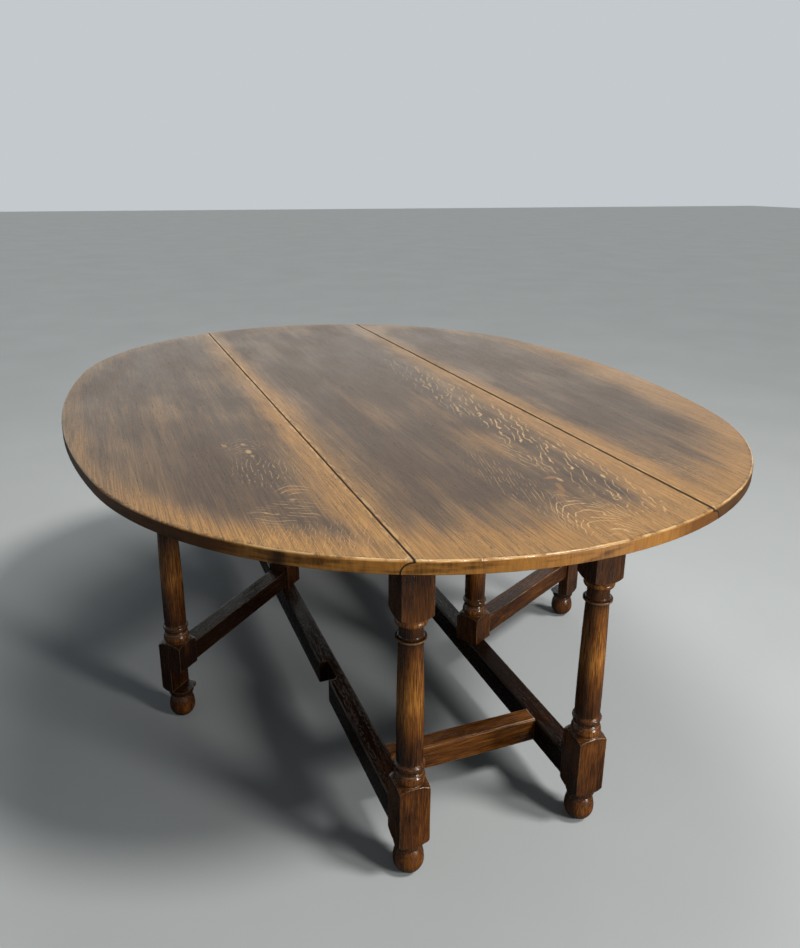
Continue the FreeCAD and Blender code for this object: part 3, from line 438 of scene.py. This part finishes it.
def makeTopOak(board, shift):
    size = topOak
    material, tree = newMaterial("oilVarnishedOakTop_" + board)
    x, y, z = add(tree, "SeparateXYZ", add(tree, "TexCoord").outputs["Object"]).outputs
    upness = add(tree, "SeparateXYZ", add(tree, "NewGeometry").outputs["Normal"]).outputs[2]
    awayX = add(tree, "Math", x, operation="ABSOLUTE")
    upBoard = add(tree, "Math", y, operation="ABSOLUTE")
    inward = inwardFromRim(tree, awayX, upBoard)
    pastJoint = add(tree, "Math", awayX, size["joint"], operation="SUBTRACT")
    fromJoint = add(tree, "Math", pastJoint, operation="ABSOLUTE")
    streak = woodGrain(tree, size["streak"], alongBoard, (shift, 0, 0), 4.0)
    cloud = woodGrain(tree, size["cloud"], alongBoard, (0, shift, 0), 3.0)
    streakPush = add(tree, "MapRange", streak, 0.0, 1.0, -size["streakPush"], size["streakPush"])
    cloudPush = add(tree, "MapRange", cloud, 0.0, 1.0, -size["cloudPush"], size["cloudPush"])
    wander = add(tree, "Math", streakPush, cloudPush, operation="ADD")

    worn = wornShare(tree, board, x, y, inward, fromJoint, wander)
    stain = stainShare(tree, board, y, streak, cloud, wander, worn)
    painted = add(tree, "ValToRGB", stain, stops=[
        (0.0, size["gold"]), (0.25, size["honey"]), (0.62, size["brown"]), (0.95, size["dusk"])])

    # Grain lines and open pores
    lines = woodGrain(tree, size["lineGrain"], alongBoard, (shift, 0, 0), 4.0, 0.65)
    lineTone = add(tree, "MapRange", lines, 0.32, 0.68, *size["lineTone"], interpolation_type="SMOOTHSTEP")
    painted = add(tree, "VectorMath", painted, operation="SCALE", Scale=lineTone)
    pores = woodGrain(tree, size["poreGrain"], alongBoard, (shift, 0, 1), 1.0)
    pores = add(tree, "MapRange", pores, 0.56, 0.66, 0.0, 1.0, interpolation_type="SMOOTHSTEP")
    poreRows = woodGrain(tree, size["poreRows"], alongBoard, (0, shift, 1), 2.0)
    poreRows = add(tree, "MapRange", poreRows, 0.42, 0.62, 0.15, 1.0, interpolation_type="SMOOTHSTEP")
    pores = add(tree, "Math", pores, poreRows, operation="MULTIPLY")
    poreShare = add(tree, "Math", pores, size["poreShare"], operation="MULTIPLY")
    painted = add(tree, "Mix", poreShare, painted, colour(size["pore"]), data_type="RGBA")

    # The rays are clearer towards the near end, where there is less stain
    clear = add(tree, "MapRange", y, 0.30, -0.45, 0.42, 1.0)
    painted = paintRays(tree, board, painted, clear, wander, shift)
    painted = paintMarks(tree, board, painted, streakPush)
    painted = paintLips(tree, painted, fromJoint, shift)

    # Rim face, up to where the top's edge rounds over
    edgeColour, gilt = rimFaceColour(tree, board, x, upBoard, streakPush, shift)
    faceStart, faceFull = [size["high"] - drop for drop in size["faceDrop"]]
    rimFace = add(tree, "MapRange", z, faceStart, faceFull, 0.0, 1.0)
    steep = add(tree, "MapRange", upness, 0.97, 0.90, 0.0, 1.0)
    rimFace = add(tree, "Math", rimFace, steep, operation="MULTIPLY")
    painted = add(tree, "Mix", rimFace, painted, edgeColour, data_type="RGBA")

    # Wax and dust caught in a broken line just inside the rim
    caught = woodGrain(tree, size["dustCell"], (0, 0, 0), (shift, 3, 0), 3.0, 0.6)
    caught = add(tree, "MapRange", caught, 0.46, 0.60, 0.0, 0.60, interpolation_type="SMOOTHSTEP")
    nearFront = add(tree, "MapRange", y, -0.30, -0.55, 0.15, 1.0)
    caughtIn = add(tree, "MapRange", inward, *size["dustReach"], 0.0, 1.0, interpolation_type="SMOOTHSTEP")
    offFace = add(tree, "MapRange", rimFace, 0.0, 1.0, 1.0, 0.0)
    for limit in (nearFront, caughtIn, offFace):
        caught = add(tree, "Math", caught, limit, operation="MULTIPLY")
    painted = add(tree, "Mix", caught, painted, colour(size["pore"]), data_type="RGBA")

    # The arris between top and rim face: rubbed pale where the face is rubbed too, and elsewhere painted
    # pale as a highlight line, partly wear and partly painted highlight
    arrisStart, arrisFull = [size["high"] - drop for drop in size["arrisDrop"]]
    arrisIn = add(tree, "MapRange", z, arrisStart, arrisFull, 0.0, 1.0)
    arrisOut = add(tree, "MapRange", upness, 0.995, 0.96, 0.0, 1.0)
    rubbed = woodGrain(tree, size["arrisPatch"], (0, 0, 0), (shift, 0, 3), 3.0, 0.6)
    rubbed = add(tree, "MapRange", rubbed, 0.38, 0.56, 0.10, 0.95, interpolation_type="SMOOTHSTEP")
    # where the stain is left, the arris is painted pale as a highlight line, faint on the left and centre
    # and strong on the right leaf
    pale = add(tree, "MapRange", gilt, 0.0, 0.6, rimGold[board][3], 1.0)
    rubbed = add(tree, "Math", rubbed, pale, operation="MULTIPLY")
    arris = add(tree, "Math", arrisIn, arrisOut, operation="MULTIPLY")
    arris = add(tree, "Math", arris, rubbed, operation="MULTIPLY")
    painted = add(tree, "Mix", arris, painted, colour(size["arris"]), data_type="RGBA")

    # Plain wood underneath, and dirt in the joints over all
    below = add(tree, "MapRange", upness, -0.45, -0.75, 0.0, 1.0)
    underTone = add(tree, "MapRange", lines, 0.30, 0.70, 0.75, 1.15)
    underColour = add(tree, "VectorMath", colour(size["under"])[:3], operation="SCALE", Scale=underTone)
    painted = add(tree, "Mix", below, painted, underColour, data_type="RGBA")
    jointDirt = jointDirtShare(tree, x, z, pastJoint, fromJoint, cloud)
    painted = add(tree, "Mix", jointDirt, painted, colour(size["dirt"]), data_type="RGBA")

    # The varnish is polished on the arris, and duller in the pores, underneath and in the dirt
    gloss = add(tree, "MapRange", cloud, 0.3, 0.7, size["roughness"] - 0.03, size["roughness"] + 0.06)
    for place, duller in ((pores, 0.15), (arris, -0.20), (below, 0.30)):
        gloss = add(tree, "Math", place, duller, gloss, operation="MULTIPLY_ADD")
    gloss = add(tree, "Math", jointDirt, 0.60, gloss, operation="MULTIPLY_ADD", use_clamp=True)
    height = add(tree, "Math", lines, 0.4, operation="MULTIPLY")
    height = add(tree, "Math", height, pores, operation="SUBTRACT")
    finishMaterial(tree, painted, gloss, height, size["bumpDepth"],
                   **{"IOR": 1.5, "Specular IOR Level": size["specular"]})
    return material


dressNode("centre_board", makeTopOak("centre_board", 0.0))
dressNode("leaf_left", makeTopOak("leaf_left", 3.1))
dressNode("leaf_right", makeTopOak("leaf_right", 7.4))
print("top boards dressed")


# Frame: turned and planed oak, stained dark brown, worn golden where hands and shoes rub. Its wax gives
# sharp small glints, and its pores are drawn coarser than the real 0.3 mm too
frameOak = {
    "dark": "#1d0e06",
    "red": "#4f2c0f",
    "warm": "#7d4b1b",
    "gold": "#b97d38",
    "worn": "#b8986f",
    "pore": "#0e0703",
    "lineGrain": (0.040, 0.0018, 0.0018),
    "poreGrain": (0.010, 0.0011, 0.0011),
    "poreRows": (0.15, 0.007, 0.007),
    "poreShare": 0.55,
    "figure": (0.20, 0.018, 0.018),
    "cloud": (0.12, 0.07, 0.07),
    "edgePatch": (0.060, 0.02, 0.02),
    "roughness": 0.15,
    "bumpDepth": 0.0003,
    "edgeRound": 0.0030,
}

# How far the stain is rubbed through up a post, by height in metres: ball foot, beads, column belly
postWear = [
    (0.000, 0.16), (0.030, 0.32), (0.056, 0.12), (0.062, 0.04), (0.100, 0.12), (0.190, 0.22), (0.206, 0.08),
    (0.216, 0.46), (0.230, 0.02), (0.243, 0.16), (0.260, 0.02), (0.310, 0.26), (0.375, 0.74), (0.440, 0.56),
    (0.485, 0.30), (0.500, 0.04), (0.525, 0.10), (0.536, 0.55), (0.546, 0.14), (0.600, 0.12), (0.719, 0.00),
]

# The same for the left gate's posts: their blocks are left dark as painted shade, where they stand in shade
shadedWear = [
    (0.000, 0.16), (0.030, 0.32), (0.056, 0.12), (0.062, 0.00), (0.190, 0.00), (0.206, 0.04), (0.216, 0.40),
    (0.230, 0.02), (0.243, 0.10), (0.260, 0.00), (0.310, 0.24), (0.375, 0.76), (0.440, 0.66), (0.485, 0.34),
    (0.500, 0.04), (0.525, 0.08), (0.536, 0.45), (0.546, 0.04), (0.600, 0.00), (0.719, 0.00),
]

# Turned edges painted pale, partly worn by handling and partly a painted highlight line: height, half of the
# band and strength
turnedEdgeWearAndHighlights = [(0.2275, 0.0013, 0.30), (0.2400, 0.0016, 0.45), (0.5020, 0.0020, 0.42), (0.5435, 0.0014, 0.35)]


def makeFrameOak(name, turn, posts=(), wear=0.0, edgeWear=0.25, lighter=0.0, mirror=0.32):
    # posts is a turned post's table of wear, and a rail has one wear all over instead; lighter shifts the
    # stain's tone, and is set low on copies that stand in shade, as painted shade; mirror is how strongly
    # the wax shines
    size = frameOak
    material, tree = newMaterial(name)
    high = add(tree, "SeparateXYZ", add(tree, "TexCoord").outputs["Object"]).outputs[2]
    lines = woodGrain(tree, size["lineGrain"], turn, (0.3, 0, 0), 4.0, 0.62)
    figure = woodGrain(tree, size["figure"], turn, (0.5, 0, 0), 3.0)
    cloud = woodGrain(tree, size["cloud"], turn, (0.9, 0, 0), 2.0)
    lineShare = add(tree, "MapRange", lines, 0.30, 0.62, 0.55, 1.0, interpolation_type="SMOOTHSTEP")
    if posts:
        level = add(tree, "Math", high, topOak["high"], operation="DIVIDE")
        rubbed = add(tree, "ValToRGB", level, stops=[(row[0] / topOak["high"], row[1]) for row in posts])
        rubbed = add(tree, "Math", rubbed, lineShare, operation="MULTIPLY")
    else:
        rubbed = add(tree, "Math", lineShare, wear, operation="MULTIPLY")
    tone = add(tree, "Math", figure, cloud, operation="ADD")
    tone = add(tree, "MapRange", tone, 0.60, 1.40, -0.06 + lighter, 0.42 + lighter)
    tone = add(tree, "Math", tone, rubbed, operation="ADD")
    lineTone = add(tree, "MapRange", lines, 0.30, 0.70, -0.24, 0.24)
    tone = add(tree, "Math", tone, lineTone, operation="ADD", use_clamp=True)
    stained = add(tree, "ValToRGB", tone, stops=[
        (0.03, size["dark"]), (0.34, size["red"]), (0.66, size["warm"]), (1.0, size["gold"])])

    # Open pores filled with dark wax
    pores = woodGrain(tree, size["poreGrain"], turn, (0.2, 0, 0), 1.0)
    pores = add(tree, "MapRange", pores, 0.54, 0.64, 0.0, 1.0, interpolation_type="SMOOTHSTEP")
    poreRows = woodGrain(tree, size["poreRows"], turn, (0.7, 0, 0), 2.0)
    poreRows = add(tree, "MapRange", poreRows, 0.40, 0.60, 0.0, 1.0, interpolation_type="SMOOTHSTEP")
    pores = add(tree, "Math", pores, poreRows, operation="MULTIPLY")
    poreShare = add(tree, "Math", pores, size["poreShare"], operation="MULTIPLY")
    painted = add(tree, "Mix", poreShare, stained, colour(size["pore"]), data_type="RGBA")

    # Rubbed arrises: where a rounded normal would differ from the sharp one
    rounded = add(tree, "Bevel", size["edgeRound"], samples=6)
    sharp = add(tree, "NewGeometry").outputs["Normal"]
    agree = add(tree, "VectorMath", rounded, sharp, operation="DOT_PRODUCT")
    arris = add(tree, "MapRange", agree, 0.985, 0.88, 0.0, 1.0)
    patchy = woodGrain(tree, size["edgePatch"], turn, (1.7, 0, 0), 3.0, 0.6)
    patchy = add(tree, "MapRange", patchy, 0.42, 0.62, 0.12, edgeWear * 2, interpolation_type="SMOOTHSTEP")
    arris = add(tree, "Math", arris, patchy, operation="MULTIPLY", use_clamp=True)
    # pale bands at the turned edges: partly wear, partly painted highlight lines
    for edgeHigh, half, strength in turnedEdgeWearAndHighlights if posts else ():
        fromEdge = add(tree, "Math", high, edgeHigh, operation="SUBTRACT")
        fromEdge = add(tree, "Math", fromEdge, operation="ABSOLUTE")
        bright = add(tree, "MapRange", fromEdge, half, half * 0.5, 0.0, strength)
        arris = add(tree, "Math", arris, bright, operation="MAXIMUM")
    painted = add(tree, "Mix", arris, painted, colour(size["worn"]), data_type="RGBA")

    gloss = add(tree, "MapRange", cloud, 0.3, 0.7, size["roughness"], size["roughness"] + 0.10)
    gloss = add(tree, "Math", pores, 0.25, gloss, operation="MULTIPLY_ADD", use_clamp=True)
    height = add(tree, "Math", lines, 0.35, operation="MULTIPLY")
    height = add(tree, "Math", height, pores, operation="SUBTRACT")
    finishMaterial(tree, painted, gloss, height, size["bumpDepth"], rounded,
                   **{"IOR": 1.5, "Specular IOR Level": mirror})
    return material


def gateTurn(side):
    # heading of an open gate, from its pivot post to its leg
    near = sum(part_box("pivot_post_" + side), Vector((0, 0, 0))) / 2
    far = sum(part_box("gate_leg_" + side), Vector((0, 0, 0))) / 2
    return math.atan2(far.y - near.y, far.x - near.x)


# One material for each way that the grain runs; what stands in shade, the left gate's posts and rails and
# the long rails, is painted darker as painted shade
upright = (0, math.radians(-90), 0)
oakPosts = makeFrameOak("waxedOakTurnedPosts", upright, posts=postWear, mirror=0.50)
shadedPosts = makeFrameOak("waxedOakShadedPosts", upright, posts=shadedWear, edgeWear=0.12, lighter=-0.10,
                           mirror=0.50)
# the long rails stand in shade under the top: this copy is painted darker as painted shade
oakAlong = makeFrameOak("waxedOakLongRailsPaintedShade", alongBoard, wear=0.02, edgeWear=0.15, lighter=-0.25,
                        mirror=0.16)
oakAcross = makeFrameOak("waxedOakCrossRails", (0, 0, 0), wear=0.26, edgeWear=0.90, lighter=0.08)
# the left gate's rails are a shaded copy, painted darker than the right gate's as painted shade
oakGates = {
    "left": makeFrameOak("waxedOakGateRailsPaintedShade_left", (0, 0, gateTurn("left")), wear=0.02, edgeWear=0.15,
                         lighter=-0.27, mirror=0.22),
    "right": makeFrameOak("waxedOakGateRails_right", (0, 0, gateTurn("right")), wear=0.12, edgeWear=0.50,
                          lighter=0.02),
}

for name in nodes:
    side = "left" if "left" in name else "right"
    # the left gate's posts take the darker copy, painted shade
    if name in ("pivot_post_left", "gate_leg_left"):
        dressNode(name, shadedPosts)
    elif name.startswith(("leg_", "pivot_post_", "gate_leg_")):
        dressNode(name, oakPosts)
    elif name.startswith(("long_stretcher_", "side_rail_")):
        dressNode(name, oakAlong)
    elif name.startswith(("cross_stretcher_", "end_rail_")):
        dressNode(name, oakAcross)
    elif name.startswith(("gate_stretcher_", "gate_rail_")):
        dressNode(name, oakGates[side])
print("legs, stretchers and rails dressed")


# Blocks under the top: plain sawn oak, never stained
blockOak = {
    "light": "#9c7646",
    "brown": "#6e4d2b",
    "lineGrain": (0.030, 0.0016, 0.0016),
    "roughness": 0.62,
    "bumpDepth": 0.0002,
}


def makeBlockOak():
    size = blockOak
    material, tree = newMaterial("sawnOakBlocks")
    lines = woodGrain(tree, size["lineGrain"], (0, 0, 0), (0, 0, 0), 4.0, 0.6)
    base = add(tree, "ValToRGB", lines, stops=[(0.3, size["brown"]), (0.7, size["light"])])
    rough = add(tree, "MapRange", lines, 0.0, 1.0, size["roughness"], size["roughness"] + 0.15)
    finishMaterial(tree, base, rough, lines, size["bumpDepth"], IOR=1.5)
    return material


# Table hinges: black-japanned iron, dull, rusting a little in its hollows
hingeIron = {
    "black": "#1f1c1a",
    "rust": "#5a3420",
    "blotch": 0.006,
    "pitting": 0.0009,
    "roughness": 0.50,
    "bumpDepth": 0.00008,
}

# Screws and hinge pins: drawn steel gone grey, with a brown bloom
screwSteel = {
    "bright": "#8d8880",
    "dull": "#4f4740",
    "blotch": 0.003,
    "pitting": 0.0005,
    "roughness": 0.34,
    "bumpDepth": 0.00003,
}


def makeMetal(name, size, clean, stained, metallic):
    material, tree = newMaterial(name)
    place = add(tree, "TexCoord").outputs["Object"]
    blotch = add(tree, "TexNoise", place, Scale=1 / size["blotch"], Detail=4.0, Roughness=0.6)
    pits = add(tree, "TexNoise", place, Scale=1 / size["pitting"], Detail=2.0, Roughness=0.5)
    base = add(tree, "ValToRGB", blotch, stops=[(0.45, clean), (0.68, stained)])
    rough = add(tree, "MapRange", blotch, 0.35, 0.70, size["roughness"], size["roughness"] + 0.25)
    finishMaterial(tree, base, rough, pits, size["bumpDepth"], Metallic=metallic)
    return material


sawnBlocks = makeBlockOak()
japannedIron = makeMetal("japannedHingeIron", hingeIron, hingeIron["black"], hingeIron["rust"], 0.55)
greySteel = makeMetal("agedScrewSteel", screwSteel, screwSteel["bright"], screwSteel["dull"], 1.0)
for name in nodes:
    if "screws" in name or name.startswith("hinge_pin_"):
        dressNode(name, greySteel)
    elif name.startswith("hinge_"):
        dressNode(name, japannedIron)
    elif name.startswith("top_button_") or name in ("gate_stop_left", "gate_stop_right"):
        dressNode(name, sawnBlocks)
print("blocks, hinges and screws dressed")


# Floor, light and camera. The floor is painted concrete, even and dull, so that it shows only shadows
studio = {
    "floor": "#b0b6b9",
    "floorWide": 60,
    "floorBump": 0.0005,
    "floorBounce": "#575c5f",    # what the floor throws back at the table, as a grey workshop floor does
    "backdrop": "#c4c9cd",
    "sky": "#eef2f6",
    "skyLevel": 0.18,
    "wall": "#e4e8e5",           # what polished wood mirrors: a lit wall ahead, and a dimmer room all round
    "wallLevel": 0.36,
    "wallFoot": 0.92,
    "roomLevel": 0.24,
    "sun": {"from": (0.46, -0.40, 0.80), "strength": 2.1, "soft": 12},
    "lamps": {                   # the low one only makes glints, so that the top has no glare from behind
        "frontLamp": {"at": (1.7, -3.3, 1.5), "aim": (0.0, -0.5, 0.40), "size": 0.8, "watts": 80,
                      "fills": True, "glints": False},
        "glintLamp": {"at": (1.7, -3.3, 0.44), "aim": (0.0, -0.5, 0.40), "size": 0.58, "watts": 52,
                      "fills": False, "glints": True},
        "overheadLamp": {"at": (0.5, 0.6, 3.2), "aim": (0, 0, 0.7), "size": 1.6, "watts": 40,
                         "fills": True, "glints": True},
    },
}


def makeFloor():
    bpy.ops.object.select_all(action="DESELECT")
    bpy.ops.mesh.primitive_plane_add(size=studio["floorWide"], location=(0, 0, 0))
    floor = bpy.context.object
    floor.name = "studioFloor"
    material, tree = newMaterial("paintedConcreteFloor")
    place = add(tree, "TexCoord").outputs["Object"]
    cloud = add(tree, "TexNoise", place, Scale=1.6, Detail=4.0)
    tone = add(tree, "MapRange", cloud, 0.3, 0.7, 0.97, 1.03)
    pale = add(tree, "VectorMath", colour(studio["floor"])[:3], operation="SCALE", Scale=tone)
    seen = add(tree, "LightPath").outputs["Is Camera Ray"]
    base = add(tree, "Mix", seen, colour(studio["floorBounce"]), pale, data_type="RGBA")
    rough = add(tree, "MapRange", cloud, 0.3, 0.7, 0.70, 0.80)
    finishMaterial(tree, base, rough, cloud, studio["floorBump"], **{"Specular IOR Level": 0.0})
    floor.data.materials.append(material)


def makeWorld():
    world = bpy.data.worlds.new("softStudio")
    bpy.context.scene.world = world
    world.use_nodes = True
    tree = world.node_tree
    tree.nodes.clear()
    path = add(tree, "LightPath")
    light = add(tree, "Background", colour(studio["sky"]), studio["skyLevel"])
    behind = add(tree, "Background", colour(studio["backdrop"]), 1.0)
    ahead, high = add(tree, "SeparateXYZ", add(tree, "TexCoord").outputs["Generated"]).outputs[1:]
    foot = add(tree, "MapRange", high, 0.10, 0.34, studio["wallFoot"], 0.0, interpolation_type="SMOOTHSTEP")
    wall = add(tree, "Math", foot, studio["wallLevel"], operation="ADD")
    facing = add(tree, "MapRange", ahead, 0.1, 0.6, 0.0, 1.0)
    wall = add(tree, "Math", wall, facing, operation="MULTIPLY")
    wall = add(tree, "Math", wall, studio["roomLevel"], operation="ADD")
    mirrored = add(tree, "Background", colour(studio["wall"]), wall)
    glossy = add(tree, "Math", path.outputs["Is Glossy Ray"], path.outputs["Is Transmission Ray"],
                 operation="ADD", use_clamp=True)
    around = add(tree, "MixShader", glossy, light, mirrored)
    add(tree, "OutputWorld", add(tree, "MixShader", path.outputs["Is Camera Ray"], around, behind))


def addLamp(name, kind, at, aim):
    data = bpy.data.lights.new(name, kind)
    data.color = colour("#fffaf3")[:3]
    light = bpy.data.objects.new(name, data)
    light.location = at
    light.rotation_euler = (Vector(aim) - Vector(at)).to_track_quat("-Z", "Y").to_euler()
    bpy.context.scene.collection.objects.link(light)
    return light


def makeLamps():
    sun = addLamp("softSun", "SUN", studio["sun"]["from"], (0, 0, 0))
    sun.data.energy = studio["sun"]["strength"]
    sun.data.angle = math.radians(studio["sun"]["soft"])
    for name, lamp in studio["lamps"].items():
        light = addLamp(name, "AREA", lamp["at"], lamp["aim"])
        light.data.shape = "DISK"
        light.data.size = lamp["size"]
        light.data.energy = lamp["watts"]
        light.visible_diffuse = lamp["fills"]
        light.visible_glossy = lamp["glints"]


# The photo's camera, found from the oval rim, the joint lines and the feet
photoCamera = {
    "at": (-0.6521, -1.8439, 1.2453),
    "heading": 0.3755,     # radians from +Y towards +X
    "down": 0.3213,
    "roll": 0.0070,
    "focal": 812.8,        # pixels of the 800 x 948 frame
    "middle": -27.4,       # pixels that the optical middle lies above the frame's
    "wide": 800,
    "high": 948,
}


def makeCamera():
    shot = photoCamera
    data = bpy.data.cameras.new("photoCamera")
    camera = bpy.data.objects.new("photoCamera", data)
    bpy.context.scene.collection.objects.link(camera)
    heading, down, roll = shot["heading"], shot["down"], shot["roll"]
    ahead = Vector((math.sin(heading) * math.cos(down), math.cos(heading) * math.cos(down),
                    -math.sin(down)))
    level = Vector((math.cos(heading), -math.sin(heading), 0))
    rise = level.cross(ahead)
    side = math.cos(roll) * level + math.sin(roll) * rise
    up = math.cos(roll) * rise - math.sin(roll) * level
    turned = Matrix((side, up, -ahead)).transposed().to_4x4()
    camera.matrix_world = Matrix.Translation(shot["at"]) @ turned
    data.sensor_fit = "AUTO"
    data.sensor_width = 36
    longest = max(shot["wide"], shot["high"])
    data.lens = shot["focal"] * data.sensor_width / longest
    data.shift_y = shot["middle"] / longest
    data.clip_start = 0.05
    bpy.context.scene.camera = camera


makeFloor()
makeWorld()
makeLamps()
makeCamera()
bpy.context.scene.view_settings.view_transform = "Standard"
print("stage, lamps and camera set")
